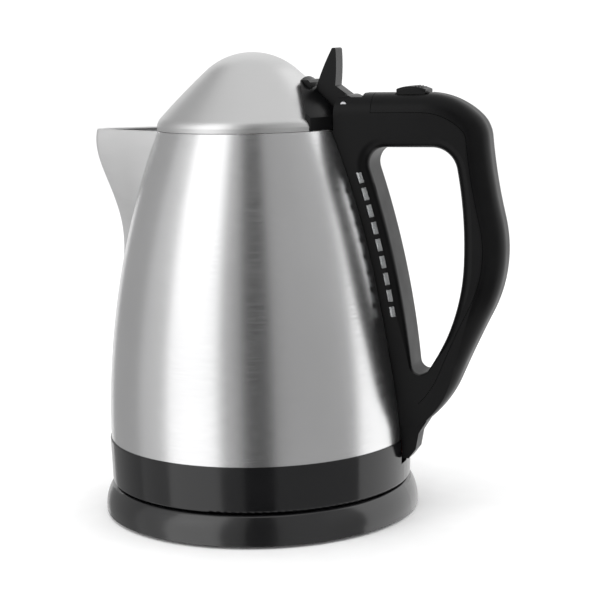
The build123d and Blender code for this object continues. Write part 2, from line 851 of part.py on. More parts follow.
def finger_hole():
    """Side outline of the opening between the grip and the spine."""
    with BuildSketch(Plane.XZ) as section:
        with BuildLine():
            spine_side = RadiusArc(
                (wall_x(hole_tip_z, spine_depth), hole_tip_z),
                (wall_x(arm_bottom, spine_depth), arm_bottom),
                -(arc_radius + spine_depth),
            )
            roof = Line(spine_side @ 1, roof_end)
            rear = ThreePointArc(roof @ 1, hole_rear, hole_rear_middle)
            rear_low = TangentArc(rear @ 1, hole_rear_low, tangent=rear % 1)
            TangentArc(rear_low @ 1, spine_side @ 0, tangent=rear_low % 1)
        make_face()
        fillet(section.vertices().sort_by(Axis.Y)[0], hole_tip_round)
        fillet(section.vertices().group_by(Axis.Y)[-1].sort_by(Axis.X)[-1], hole_rear_round)
        fillet(section.vertices().group_by(Axis.Y)[-1].sort_by(Axis.X)[0], hole_front_round)
    return section.sketch


def arc_band(bottom, top, inner_depth, outer_depth):
    """Strip of the side view between two depths off the steel wall."""
    with BuildSketch(Plane.XZ) as section:
        with BuildLine():
            near = RadiusArc(
                (wall_x(bottom, inner_depth), bottom),
                (wall_x(top, inner_depth), top),
                -(arc_radius + inner_depth),
            )
            far = RadiusArc(
                (wall_x(bottom, outer_depth), bottom),
                (wall_x(top, outer_depth), top),
                -(arc_radius + outer_depth),
            )
            Line(near @ 0, far @ 0)
            Line(near @ 1, far @ 1)
        make_face()
    return section.sketch


with BuildPart() as handle_blank:
    extrude(outer_outline(), amount=handle_half, both=True)
    sides = handle_blank.faces().filter_by(Axis.Y)
    outer_edges = sides.edges().filter_by(lambda edge: min((edge @ 0).X, (edge @ 1).X) > foot_inner)
    top_edges = sides.edges().group_by(Axis.Z)[-1]
    fillet(outer_edges + top_edges, outer_round)
    extrude(finger_hole(), amount=handle_half, both=True, mode=Mode.SUBTRACT)
    flat_sides = handle_blank.faces().filter_by(Axis.Y)
    hole_wires = [wire for face in flat_sides for wire in face.inner_wires()]
    fillet(ShapeList(edge for wire in hole_wires for edge in wire.edges()), hole_round)
    for side in (-1, 1):
        with BuildSketch(Plane.YZ.offset(foot_inner - 20)):
            with BuildLine():
                edge_line = TangentArc(
                    (side * handle_half, taper_start), (side * foot_half, taper_end), tangent=(0, -1)
                )
                Polyline(
                    edge_line @ 1,
                    (side * foot_half, 10),
                    (side * 3 * handle_half, 10),
                    (side * 3 * handle_half, taper_start),
                    edge_line @ 0,
                )
            make_face()
        extrude(amount=100, mode=Mode.SUBTRACT)
    with BuildSketch(Plane.XZ):
        with BuildLine():
            Polyline(*foot_profile)
        make_face()
    extrude(amount=foot_half, both=True)

with BuildPart() as handle_surroundings:
    with BuildSketch(Plane.XZ):
        with BuildLine():
            low = (wall_x(band_top + band_clearance, body_clearance), band_top + band_clearance)
            high = (wall_x(rim_height - 0.5, body_clearance), rim_height - 0.5)
            side = RadiusArc(low, high, -(arc_radius + body_clearance))
            Polyline(
                side @ 1,
                (lid_radius + lid_clearance, rim_height - 0.5),
                (lid_radius + lid_clearance, lid_top + 10),
                (0, lid_top + 10),
                (0, 0),
                (band_radius + band_clearance, 0),
                (band_radius + band_clearance, band_top + band_clearance),
                side @ 0,
            )
        make_face()
    revolve(axis=Axis.Z)

cover_start_x = body_radius - 10.5
cover_end_z = band_top + 19.0
parting_gap = 0.2
cavity_inset = 3.2
cavity_shoulder = 5.5
cavity_crown_half = cheek_outer + slip
cavity_bottom = band_top + 46.0
half_plane = 2 * rim_height


def cover_zone(depth):
    """Side outline of the outer cover, measured in from the outline of the handle."""
    outline = outer_outline()
    with BuildSketch(Plane.XZ) as section:
        add(outline)
        offset(outline, amount=-depth, mode=Mode.SUBTRACT)
        with Locations((cover_start_x + half_plane / 2, cover_end_z + half_plane / 2)):
            Rectangle(half_plane, half_plane, mode=Mode.INTERSECT)
    return section.sketch


def cavity_zone(depth):
    """Side outline of the hollow in the handle, measured in from the outline of the handle."""
    corner = (cover_start_x + handle_wall + half_plane / 2, cavity_bottom + half_plane / 2)
    with BuildSketch(Plane.XZ) as section:
        offset(outer_outline(), amount=-depth)
        offset(finger_hole(), amount=handle_wall, mode=Mode.SUBTRACT)
        with Locations(corner):
            Rectangle(half_plane, half_plane, mode=Mode.INTERSECT)
    return section.sketch


with BuildPart() as handle_cavity:
    extrude(cavity_zone(handle_wall), amount=cavity_crown_half, both=True)
    extrude(cavity_zone(cavity_shoulder), amount=handle_half - cavity_inset, both=True)
    extrude(
        arc_band(cover_end_z, arm_bottom + handle_wall, -30.0, spine_depth + 1.0),
        amount=handle_half,
        both=True,
        mode=Mode.SUBTRACT,
    )

handle_screw_x = switch_x + 15.0
handle_screw_y = 5.0
handle_screw_head = 2.4
handle_screw_shank = 1.3
handle_boss = 3.0
cutout_front = switch_x - 7.7
cutout_rear = switch_x + 8.5
gauge_half = 9.0
wire_slot_depth = 1.1
crest_profile = (
    (hinge_x + 3.5, arm_bottom - 2.6),
    (hinge_x + 8.7, arm_bottom - 2.6),
    (hinge_x + 9.5, arm_bottom + 1.6),
    (hinge_x + 16.5, arm_bottom + 2.0),
    (hinge_x + 16.5, arm_bottom + 10.4),
    (hinge_x + 3.5, arm_bottom + 10.4),
    (hinge_x + 3.5, arm_bottom - 2.6),
)
passage_profile = (
    (band_radius, foot_bottom + 1.7),
    (band_radius + 3.2, foot_bottom + 1.7),
    (band_radius + 6.4, foot_bottom + 8.7),
    (band_radius + 6.4, foot_top + 2.0),
    (band_radius, foot_top + 2.0),
    (band_radius, foot_bottom + 1.7),
)

with BuildPart() as handle_frame:
    add(handle_blank.part)
    extrude(cover_zone(cover_depth), amount=handle_half + 5, both=True, mode=Mode.SUBTRACT)
    add(handle_surroundings.part, mode=Mode.SUBTRACT)
    add(handle_cavity.part, mode=Mode.SUBTRACT)
    with BuildSketch(Plane.XZ):
        with Locations((hinge_x, hinge_z)):
            Circle(recess_radius)
        with Locations((hinge_x - 2, hinge_z + 10)):
            Rectangle(21, 20)
    extrude(amount=knuckle_half + clear, both=True, mode=Mode.SUBTRACT)
    with BuildSketch(Plane.XZ):
        with Locations((hinge_x, hinge_z)):
            Circle(pin_radius + 0.03)
    extrude(amount=handle_half - 1.4, both=True, mode=Mode.SUBTRACT)
    extrude(
        arc_band(gauge_bottom - 0.1, gauge_top + 0.1, gauge_front - 0.1, gauge_back + 0.1),
        amount=handle_half + 1,
        both=True,
        mode=Mode.SUBTRACT,
    )
    extrude(
        arc_band(gauge_bottom - 0.1, gauge_top + 0.1, -1.0, gauge_back + 0.1),
        amount=gauge_half + 0.1,
        both=True,
        mode=Mode.SUBTRACT,
    )
    extrude(
        arc_band(
            band_top + 2.0,
            rim_height - 3.0,
            wire_depth - wire_slot_depth,
            wire_depth + wire_slot_depth,
        ),
        amount=wire_slot_half,
        both=True,
        mode=Mode.SUBTRACT,
    )
    with BuildSketch(Plane.XZ):
        with BuildLine():
            Polyline(*passage_profile)
        make_face()
        with BuildLine():
            Polyline(*crest_profile)
        make_face()
        with Locations((hinge_x + 11.5, arm_bottom + 11.7)):
            Rectangle(10, 2.8)
    extrude(amount=wire_slot_half, both=True, mode=Mode.SUBTRACT)
    with BuildSketch(Plane.YZ.offset(mouth_radius - 2)):
        with Locations((0, steam_port_height)):
            Circle(steam_port_radius)
    extrude(amount=16, mode=Mode.SUBTRACT)
    with BuildSketch(Plane.XY.offset(arm_bottom - 1)):
        with Locations((handle_screw_x, handle_screw_y), (handle_screw_x, -handle_screw_y)):
            Circle(handle_screw_head + slip)
    extrude(amount=2.4, mode=Mode.SUBTRACT)
    with BuildSketch(Plane.XY.offset(arm_bottom - 1)):
        with Locations((handle_screw_x, handle_screw_y), (handle_screw_x, -handle_screw_y)):
            Circle(handle_screw_shank + slip)
    extrude(amount=6, mode=Mode.SUBTRACT)
handle_frame.part.label = "handle_frame"
export_step(handle_frame.part, "parts/handle_frame.step")

with BuildPart() as handle_cover:
    add(handle_blank.part)
    extrude(
        cover_zone(cover_depth - parting_gap),
        amount=handle_half + 5,
        both=True,
        mode=Mode.INTERSECT,
    )
    with BuildSketch(Plane.YZ.offset(cover_start_x)):
        with Locations((0, arm_top)):
            Rectangle(60, 60)
    extrude(amount=parting_gap, mode=Mode.SUBTRACT)
    add(handle_cavity.part, mode=Mode.SUBTRACT)
    with BuildSketch(Plane.XY.offset(arm_bottom + 5)):
        with Locations((handle_screw_x, handle_screw_y), (handle_screw_x, -handle_screw_y)):
            Circle(handle_boss)
    extrude(amount=arm_top - arm_bottom - 8)
    with BuildSketch(Plane.XY.offset(arm_bottom + 5)):
        with Locations((handle_screw_x, handle_screw_y), (handle_screw_x, -handle_screw_y)):
            Circle(handle_screw_shank + snug)
    extrude(amount=12, mode=Mode.SUBTRACT)
    with BuildSketch(Plane.XY.offset(arm_top - 6)):
        with Locations(((cutout_front + cutout_rear) / 2, 0)):
            Rectangle(cutout_rear - cutout_front, 2 * (switch_half + 0.5))
    extrude(amount=10, mode=Mode.SUBTRACT)
handle_cover.part.label = "handle_cover"
export_step(handle_cover.part, "parts/handle_cover.step")

with BuildPart() as handle_screws:
    with BuildSketch(Plane.XY.offset(arm_bottom + 0.3)):
        with Locations((handle_screw_x, handle_screw_y), (handle_screw_x, -handle_screw_y)):
            Circle(handle_screw_head)
    extrude(amount=1.1)
    with BuildSketch(Plane.XY.offset(arm_bottom + 1.4)):
        with Locations((handle_screw_x, handle_screw_y), (handle_screw_x, -handle_screw_y)):
            Circle(handle_screw_shank)
    extrude(amount=14)
handle_screws.part.label = "handle_screws"
export_step(handle_screws.part, "parts/handle_screws.step")

with BuildPart() as water_gauge:
    extrude(
        arc_band(gauge_bottom, gauge_top, gauge_front, gauge_back),
        amount=handle_half - 0.1,
        both=True,
    )
    extrude(arc_band(gauge_bottom, gauge_top, 0.7, gauge_back), amount=gauge_half, both=True)
    extrude(
        arc_band(gauge_bottom + 3, gauge_top - 3, -1.0, gauge_back - 1.2),
        amount=gauge_half - 3,
        both=True,
        mode=Mode.SUBTRACT,
    )
water_gauge.part.label = "water_gauge"
export_step(water_gauge.part, "parts/water_gauge.step")

with BuildPart() as gauge_gasket:
    extrude(arc_band(gauge_bottom, gauge_top, 0.1, 0.65), amount=gauge_half, both=True)
    extrude(
        arc_band(gauge_bottom + 3, gauge_top - 3, -1.0, 2.0),
        amount=gauge_half - 3,
        both=True,
        mode=Mode.SUBTRACT,
    )
gauge_gasket.part.label = "gauge_gasket"
export_step(gauge_gasket.part, "parts/gauge_gasket.step")

# ================================================================ wires and switch
wire_join = foot_top
wire_top = rim_height - 11.0
housing_front = switch_x - 11.0
housing_rear = switch_x + 9.5
housing_floor = arm_bottom + handle_wall + 1.2
wire_end = (housing_front - 0.7, housing_floor + 3.2)

wire_lean = (wire_join - band_top) / (arc_radius + wire_depth)
wire_turn = (wire_join - wire_start_height) / (1 + wire_lean)
wire_turn_x = wall_x(wire_join, wire_depth) - wire_turn * sqrt(1 - wire_lean**2)

with BuildPart() as lead_wires:
    for side in (-1, 1):
        with BuildLine(Plane.XZ.offset(side * wire_spacing)) as route:
            run = Line((terminal_outer + snug, wire_start_height), (wire_turn_x, wire_start_height))
            turn = TangentArc(
                run @ 1, (wall_x(wire_join, wire_depth), wire_join), tangent=run % 1
            )
            rise = RadiusArc(
                (wall_x(wire_join, wire_depth), wire_join),
                (wall_x(wire_top, wire_depth), wire_top),
                -(arc_radius + wire_depth),
            )
            TangentArc(rise @ 1, wire_end, tangent=rise % 1)
        path = route.wires()[0]
        with BuildSketch(Plane(origin=path @ 0, z_dir=path % 0)):
            Circle(wire_radius)
        sweep(path=path)
lead_wires.part.label = "lead_wires"
export_step(lead_wires.part, "parts/lead_wires.step")

# steam switch in the arm
cheek_top = switch_z + 2.0
trip_half = 3.0
trip_pin_radius = 1.0
steam_disc_radius = 4.2
steam_disc_thickness = 0.4
steam_disc_z = housing_floor + 9.0

with BuildPart() as switch_housing:
    with BuildSketch(Plane.XY.offset(housing_floor)):
        with Locations(((housing_front + housing_rear) / 2, 0)):
            Rectangle(housing_rear - housing_front, 2 * cheek_outer)
    extrude(amount=cheek_top - housing_floor)
    with BuildSketch(Plane.XZ):
        with BuildLine():
            Polyline(
                (housing_front + 1.6, housing_floor + 1.6),
                (housing_rear + 1, housing_floor + 1.6),
                (housing_rear + 1, cheek_top + 1),
                (housing_front + 1.6, cheek_top + 1),
                (housing_front + 1.6, housing_floor + 1.6),
            )
        make_face()
    extrude(amount=cheek_inner, both=True, mode=Mode.SUBTRACT)
    with BuildSketch(Plane.YZ.offset(housing_front - 1)):
        with Locations((0, cheek_top)):
            Rectangle(2 * cheek_inner, 2 * (cheek_top - steam_disc_z - 2))
    extrude(amount=4, mode=Mode.SUBTRACT)
    with BuildSketch(Plane.YZ.offset(housing_front - 1)):
        with Locations((0, steam_disc_z - 3)):
            Circle(1.6)
    extrude(amount=4, mode=Mode.SUBTRACT)
    with BuildSketch(Plane.XZ):
        with Locations((switch_x, switch_z)):
            Circle(pin_radius + 0.03)
        with Locations((trip_x, trip_z)):
            Circle(trip_pin_radius + 0.03)
    extrude(amount=cheek_outer + 1, both=True, mode=Mode.SUBTRACT)
switch_housing.part.label = "switch_housing"
export_step(switch_housing.part, "parts/switch_housing.step")

with BuildPart() as switch_pins:
    with BuildSketch(Plane.XZ):
        with Locations((switch_x, switch_z)):
            Circle(pin_radius)
    extrude(amount=cheek_outer, both=True)
    with BuildSketch(Plane.XZ):
        with Locations((trip_x, trip_z)):
            Circle(trip_pin_radius)
    extrude(amount=cheek_outer, both=True)
switch_pins.part.label = "switch_pins"
export_step(switch_pins.part, "parts/switch_pins.step")

rocker_front = switch_x - 7.2
rocker_rear = switch_x + 7.0
rocker_crest = arm_top + 3.0
rocker_hub = 3.2

with BuildPart() as power_switch:
    with BuildSketch(Plane.XZ):
        with BuildLine():
            crest_arc = ThreePointArc(
                (rocker_front, rocker_crest - 1.2),
                (switch_x - 0.6, rocker_crest),
                (rocker_rear, rocker_crest - 1.6),
            )
            Polyline(
                crest_arc @ 1,
                (rocker_rear - 0.6, switch_z + 2.4),
                (rocker_front + 0.6, switch_z + 2.4),
                crest_arc @ 0,
            )
        make_face()
    extrude(amount=switch_half, both=True)
    fillet(power_switch.edges().filter_by(GeomType.CIRCLE), 1.4)
    with BuildSketch(Plane.XZ):
        with Locations((switch_x, switch_z)):
            Circle(rocker_hub)
    extrude(amount=switch_half, both=True)
    with BuildSketch(Plane.XZ):
        with Locations((switch_x, switch_z)):
            Circle(pin_radius + running)
    extrude(amount=switch_half + 1, both=True, mode=Mode.SUBTRACT)
power_switch.part.label = "power_switch"
export_step(power_switch.part, "parts/power_switch.step")

with BuildPart() as trip_lever:
    with BuildSketch(Plane.XZ):
        with BuildLine():
            Polyline(
                (trip_x - 1.6, trip_z),
                (trip_x - 1.0, trip_z + 7.6),
                (trip_x + 1.0, trip_z + 7.6),
                (trip_x + 1.6, trip_z),
                (trip_x - 1.6, trip_z),
            )
        make_face()
        with Locations((trip_x, trip_z)):
            Circle(2.6)
        with Locations((trip_x - 5, trip_z - 0.4)):
            Rectangle(7, 1.6)
        with Locations((trip_x, trip_z)):
            Circle(trip_pin_radius + running, mode=Mode.SUBTRACT)
    extrude(amount=trip_half, both=True)
trip_lever.part.label = "trip_lever"
export_step(trip_lever.part, "parts/trip_lever.step")

with BuildPart() as steam_bimetal:
    with BuildSketch(Plane.YZ.offset(housing_front + 1.6)):
        with Locations((0, steam_disc_z - 3)):
            Circle(steam_disc_radius)
    extrude(amount=steam_disc_thickness)
steam_bimetal.part.label = "steam_bimetal"
export_step(steam_bimetal.part, "parts/steam_bimetal.step")

# ================================================================ spout strainer
strainer_depth = -steel - 0.1
strainer_bottom = rim_height - 64.0
strainer_top = rim_height - 4.0
strainer_sheet = 0.6
strainer_half_angle = radians(26.0)
strainer_cut = 100.0
strainer_cut_half = strainer_cut * tan(strainer_half_angle)
strainer_hole = 1.4
strainer_rows = 7
strainer_pitch = (5.4, 6.5)

with BuildPart() as spout_strainer:
    with BuildSketch(Plane.XZ):
        with BuildLine():
            near = RadiusArc(
                (wall_x(strainer_bottom, strainer_depth), strainer_bottom),
                (wall_x(strainer_top, strainer_depth), strainer_top),
                -(arc_radius + strainer_depth),
            )
            far = RadiusArc(
                (wall_x(strainer_bottom, strainer_depth - strainer_sheet), strainer_bottom),
                (wall_x(strainer_top, strainer_depth - strainer_sheet), strainer_top),
                -(arc_radius + strainer_depth - strainer_sheet),
            )
            Line(near @ 0, far @ 0)
            Line(near @ 1, far @ 1)
        make_face()
    revolve(axis=Axis.Z)
    with BuildSketch(Plane.XY.offset(strainer_bottom - 1)):
        with BuildLine():
            Polyline(
                (0, 0),
                (-strainer_cut, strainer_cut_half),
                (-strainer_cut, -strainer_cut_half),
                (0, 0),
            )
        make_face()
    extrude(amount=strainer_top - strainer_bottom + 2, mode=Mode.INTERSECT)
    for row in range(strainer_rows):
        across = 2 + row // 2
        with BuildSketch(Plane.YZ.offset(-body_radius)):
            with Locations((0, strainer_bottom + 10 + strainer_pitch[1] * row)):
                with GridLocations(strainer_pitch[0], 1, across, 1):
                    Circle(strainer_hole)
        extrude(amount=mouth_radius, mode=Mode.SUBTRACT)
spout_strainer.part.label = "spout_strainer"
export_step(spout_strainer.part, "parts/spout_strainer.step")
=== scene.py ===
# %% [markdown]
# # A cordless electric kettle
#
# The kettle stands on its round power base. The construction comes ready made from the frame, one
# object for each real piece. This lesson gives each piece its finish, models the pieces whose
# surface matters most, and sets up a small studio round them.

# %% Load the frame
import math

import bpy
from mathutils import Matrix, Vector


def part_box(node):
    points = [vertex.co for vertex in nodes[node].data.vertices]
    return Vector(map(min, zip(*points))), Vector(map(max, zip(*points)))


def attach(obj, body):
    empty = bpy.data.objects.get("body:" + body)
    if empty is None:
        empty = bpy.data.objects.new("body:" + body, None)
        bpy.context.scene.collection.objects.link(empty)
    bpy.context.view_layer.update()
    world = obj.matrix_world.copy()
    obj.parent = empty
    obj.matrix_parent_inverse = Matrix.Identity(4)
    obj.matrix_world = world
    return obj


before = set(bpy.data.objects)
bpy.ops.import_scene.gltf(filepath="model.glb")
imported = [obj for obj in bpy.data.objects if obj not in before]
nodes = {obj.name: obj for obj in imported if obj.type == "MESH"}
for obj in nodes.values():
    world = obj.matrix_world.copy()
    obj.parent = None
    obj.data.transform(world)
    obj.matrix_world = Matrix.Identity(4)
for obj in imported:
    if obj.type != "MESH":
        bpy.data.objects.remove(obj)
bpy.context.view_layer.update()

# %% [markdown]
# ## Helpers for materials
#
# Every finish is a small node graph round one Principled shader. Constants sit on the shader's own
# sockets. What varies over the surface, such as brushing, grain or finger marks, comes from noise
# on Object coordinates, so that it stays in place when the lid swings or the kettle turns.

# %% Material helpers
mm = 0.001
noise_low, noise_high = 0.3, 0.7


def shader_of(name, **constants):
    """A new material with its Principled shader's own sockets set."""
    material = bpy.data.materials.new(name)
    material.use_nodes = True
    shader = material.node_tree.nodes["Principled BSDF"]
    for socket, value in constants.items():
        shader.inputs[socket.replace("_", " ")].default_value = value
    return material, material.node_tree, shader


def noise(tree, stretch, scale, detail=2.0, seed=0.0):
    """Noise on Object coordinates, stretched along the axes."""
    place = tree.nodes.new("ShaderNodeTexCoord")
    mapping = tree.nodes.new("ShaderNodeMapping")
    mapping.inputs["Scale"].default_value = stretch
    mapping.inputs["Location"].default_value = (seed, seed, seed)
    pattern = tree.nodes.new("ShaderNodeTexNoise")
    pattern.inputs["Scale"].default_value = scale
    pattern.inputs["Detail"].default_value = detail
    tree.links.new(place.outputs["Object"], mapping.inputs["Vector"])
    tree.links.new(mapping.outputs["Vector"], pattern.inputs["Vector"])
    return pattern.outputs["Fac"]


def spread(tree, value, low, high):
    """Stretches the middle of a noise to run from low to high."""
    span = tree.nodes.new("ShaderNodeMapRange")
    span.inputs["From Min"].default_value = noise_low
    span.inputs["From Max"].default_value = noise_high
    span.inputs["To Min"].default_value = low
    span.inputs["To Max"].default_value = high
    tree.links.new(value, span.inputs["Value"])
    return span.outputs["Result"]


def colours(tree, value, dark, light):
    """A colour that runs from dark to light with a noise."""
    ramp = tree.nodes.new("ShaderNodeValToRGB")
    ramp.color_ramp.elements[0].position = noise_low
    ramp.color_ramp.elements[0].color = (*dark, 1)
    ramp.color_ramp.elements[1].position = noise_high
    ramp.color_ramp.elements[1].color = (*light, 1)
    tree.links.new(value, ramp.inputs["Fac"])
    return ramp.outputs["Color"]


def bump(tree, shader, height, strength, distance):
    """Raises the surface by a height pattern."""
    node = tree.nodes.new("ShaderNodeBump")
    node.inputs["Strength"].default_value = strength
    node.inputs["Distance"].default_value = distance
    tree.links.new(height, node.inputs["Height"])
    tree.links.new(node.outputs["Normal"], shader.inputs["Normal"])


# %% [markdown]
# ## Brushed steel
#
# The body is drawn from stainless sheet and brushed round its axis on a lathe. The scratches run
# round the body, so they blur a reflection up and down and leave it crisp from side to side. That
# is why the studio shows in it as upright bands. Two things make the look: anisotropy with a
# tangent that circles the axis, and fine lines that are long round the body and thin in height.

# %% Brushed steel materials
def brushed(name, tone, roughness, line_scale, anisotropy):
    """Steel brushed round the Z axis."""
    material, tree, shader = shader_of(name, Metallic=1.0, Anisotropic=anisotropy)
    ring = tree.nodes.new("ShaderNodeTangent")
    ring.direction_type = "RADIAL"
    ring.axis = "Z"
    tree.links.new(ring.outputs["Tangent"], shader.inputs["Tangent"])
    lines = noise(tree, (0.02, 0.02, 1.0), line_scale, 3.0)
    cloud = noise(tree, (1.0, 1.0, 0.6), 22.0, 2.0, 3.0)
    tree.links.new(spread(tree, lines, roughness - 0.04, roughness + 0.05), shader.inputs["Roughness"])
    dark = tuple(channel * 0.93 for channel in tone)
    tree.links.new(colours(tree, cloud, dark, tone), shader.inputs["Base Color"])
    bump(tree, shader, lines, 0.05, 0.01 * mm)
    return material


body_steel = brushed("body_steel", (0.80, 0.80, 0.805), 0.22, 5200.0, 0.45)
dome_steel = brushed("dome_steel", (0.74, 0.74, 0.74), 0.36, 3600.0, 0.35)
spout_steel = brushed("spout_steel", (0.93, 0.93, 0.93), 0.46, 3600.0, 0.0)
chamber_steel = brushed("chamber_steel", (0.60, 0.60, 0.61), 0.42, 900.0, 0.2)
print("steel finishes", body_steel.name, dome_steel.name, chamber_steel.name)

# %% [markdown]
# ## Black plastics
#
# The handle is moulded in a spark-eroded tool, which leaves a fine even grain that breaks up the
# shine. The band and the power base come from polished tools: they are glossy, with faint finger
# marks and a slight unevenness that bends a reflection.

# %% Plastic materials
def grained(name, tone, roughness, shine=0.2, grain=0.15):
    """Moulded plastic with an eroded grain."""
    material, tree, shader = shader_of(name, Specular_IOR_Level=shine)
    grit = noise(tree, (1, 1, 1), 2600.0, 2.0)
    patch = noise(tree, (1, 1, 1), 55.0, 3.0, 5.0)
    tree.links.new(spread(tree, patch, roughness - 0.05, roughness + 0.06), shader.inputs["Roughness"])
    light = tuple(channel * 1.5 for channel in tone)
    tree.links.new(colours(tree, patch, tone, light), shader.inputs["Base Color"])
    bump(tree, shader, grit, grain, 0.03 * mm)
    return material


def polished(name, tone, roughness, shine=0.5):
    """Moulded plastic from a polished tool."""
    material, tree, shader = shader_of(name, IOR=1.52, Specular_IOR_Level=shine)
    smear = noise(tree, (1, 1, 1), 38.0, 4.0, 2.0)
    wave = noise(tree, (1, 1, 0.4), 30.0, 1.0, 7.0)
    tree.links.new(spread(tree, smear, roughness, roughness + 0.1), shader.inputs["Roughness"])
    light = tuple(channel * 1.4 for channel in tone)
    tree.links.new(colours(tree, smear, tone, light), shader.inputs["Base Color"])
    bump(tree, shader, wave, 0.06, 0.3 * mm)
    return material


handle_black = grained("handle_black", (0.003, 0.003, 0.0032), 0.34, 0.13)
lever_black = grained("lever_black", (0.003, 0.003, 0.0032), 0.30, 0.16)
inner_black = grained("inner_black", (0.012, 0.012, 0.013), 0.5, 0.4)
socket_grey = grained("socket_grey", (0.06, 0.06, 0.063), 0.55, 0.5)
band_black = polished("band_black", (0.004, 0.004, 0.0045), 0.10)
base_black = polished("base_black", (0.005, 0.005, 0.0055), 0.14, 0.85)
foot_rubber = grained("foot_rubber", (0.02, 0.02, 0.02), 0.75, 0.3, 0.5)
print("plastics", handle_black.name, band_black.name, base_black.name)

# %% [markdown]
# ## Clear gauge, seals, brass and wire
#
# The water gauge is clear acrylic with water standing behind it. The seals are translucent
# silicone, and the contacts and bimetals are plain brass that has dulled a little.

# %% Small materials
def clear_plastic(name):
    """Clear acrylic with faint moulding waves."""
    material, tree, shader = shader_of(name, Transmission_Weight=0.85, IOR=1.49)
    wave = noise(tree, (1, 1, 0.5), 160.0, 2.0)
    tree.links.new(spread(tree, wave, 0.08, 0.22), shader.inputs["Roughness"])
    tree.links.new(
        colours(tree, wave, (0.74, 0.77, 0.78), (0.9, 0.92, 0.93)), shader.inputs["Base Color"]
    )
    bump(tree, shader, wave, 0.2, 0.1 * mm)
    return material


def silicone(name):
    """Translucent seal rubber."""
    material, tree, shader = shader_of(name, Subsurface_Weight=0.2)
    dust = noise(tree, (1, 1, 1), 400.0, 3.0)
    tree.links.new(spread(tree, dust, 0.42, 0.6), shader.inputs["Roughness"])
    tree.links.new(
        colours(tree, dust, (0.62, 0.61, 0.58), (0.78, 0.77, 0.74)), shader.inputs["Base Color"]
    )
    return material


def plain_metal(name, dark, light, roughness):
    """Small pressed or plated metal."""
    material, tree, shader = shader_of(name, Metallic=1.0)
    tarnish = noise(tree, (1, 1, 1), 300.0, 4.0)
    tree.links.new(spread(tree, tarnish, roughness - 0.08, roughness + 0.12), shader.inputs["Roughness"])
    tree.links.new(colours(tree, tarnish, dark, light), shader.inputs["Base Color"])
    bump(tree, shader, tarnish, 0.1, 0.02 * mm)
    return material


gauge_clear = clear_plastic("gauge_clear")
seal_silicone = silicone("seal_silicone")
contact_brass = plain_metal("contact_brass", (0.55, 0.38, 0.16), (0.80, 0.62, 0.30), 0.34)
screw_zinc = plain_metal("screw_zinc", (0.48, 0.48, 0.50), (0.66, 0.66, 0.68), 0.32)
cast_aluminium = plain_metal("cast_aluminium", (0.58, 0.58, 0.59), (0.76, 0.76, 0.77), 0.45)
wire_sleeve = grained("wire_sleeve", (0.28, 0.03, 0.025), 0.4, 0.5)
print("small finishes", gauge_clear.name, seal_silicone.name, contact_brass.name)

# %% [markdown]
# ## Dress the pieces
#
# Each construction piece keeps its own mesh and gets the finish that the real piece has.

# %% Assign finishes
finishes = {
    body_steel: ("body_shell",),
    spout_steel: ("spout",),
    dome_steel: ("lid_dome",),
    chamber_steel: ("spout_strainer", "heater_plate", "heating_element"),
    handle_black: ("handle_frame", "handle_cover"),
    lever_black: ("lid_hinge_cover", "power_switch"),
    inner_black: ("lid_liner", "underside_cover"),
    socket_grey: (
        "base_bottom_plate",
        "base_connector",
        "contact_shutter",
        "kettle_connector",
        "control_unit",
        "switch_housing",
        "trip_lever",
    ),
    band_black: ("body_band",),
    base_black: ("base_top_shell",),
    foot_rubber: ("foot_ring", "cord_gland"),
    gauge_clear: ("water_gauge",),
    seal_silicone: ("plate_seal", "lid_seal", "gauge_gasket"),
    contact_brass: ("base_contacts", "connector_contacts", "control_bimetals", "steam_bimetal"),
    screw_zinc: (
        "base_screws",
        "underside_screws",
        "handle_screws",
        "lid_screws",
        "hinge_pin",
        "switch_pins",
    ),
    cast_aluminium: ("heat_diffuser",),
    wire_sleeve: ("lead_wires",),
}


def dress(node_name, material):
    """Puts one finish on all of a construction piece's slots."""
    for material_slot in nodes[node_name].material_slots:
        material_slot.material = material


dressed = set()
for material, names in finishes.items():
    for node_name in names:
        dress(node_name, material)
        dressed.add(node_name)
print("undressed", sorted(set(nodes) - dressed))

# %% [markdown]
# ## Modelling helpers
#
# Each new piece starts as a primitive at its place, is shaped in edit mode and ends with its place
# and size baked into its mesh, so that it rides on its body just as the construction pieces do.

# %% Modelling helpers
merge_distance = 0.002 * mm
smooth_angle = math.radians(40)


def start(name):
    """Names the primitive just added and opens it for editing."""
    piece = bpy.context.object
    piece.name = name
    bpy.ops.object.transform_apply(location=True, rotation=True, scale=True)
    bpy.ops.object.mode_set(mode="EDIT")
    return piece


def finish_piece(piece, body, material):
    """Cleans the mesh, shades it and hands it to its body."""
    bpy.ops.object.mode_set(mode="EDIT")
    bpy.ops.mesh.select_all(action="SELECT")
    bpy.ops.mesh.remove_doubles(threshold=merge_distance)
    bpy.ops.mesh.normals_make_consistent(inside=False)
    bpy.ops.object.mode_set(mode="OBJECT")
    bpy.ops.object.shade_smooth_by_angle(angle=smooth_angle)
    piece.data.materials.clear()
    piece.data.materials.append(material)
    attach(piece, body)
    print(piece.name, len(piece.data.polygons), "faces")


def bar(name, size, middle, lean, round_edge):
    """A rounded bar, leaning about the Y axis."""
    bpy.ops.object.select_all(action="DESELECT")
    bpy.ops.mesh.primitive_cube_add(size=1, location=middle, rotation=(0, lean, 0), scale=size)
    piece = start(name)
    bpy.ops.mesh.select_all(action="SELECT")
    bpy.ops.mesh.bevel(offset=round_edge, segments=3, affect="EDGES")
    bpy.ops.object.mode_set(mode="OBJECT")
    return piece


def join(parts):
    """Joins pieces that repeat into one object and returns it."""
    bpy.ops.object.select_all(action="DESELECT")
    for part in parts:
        part.select_set(True)
    bpy.context.view_layer.objects.active = parts[0]
    bpy.ops.object.join()
    return parts[0]


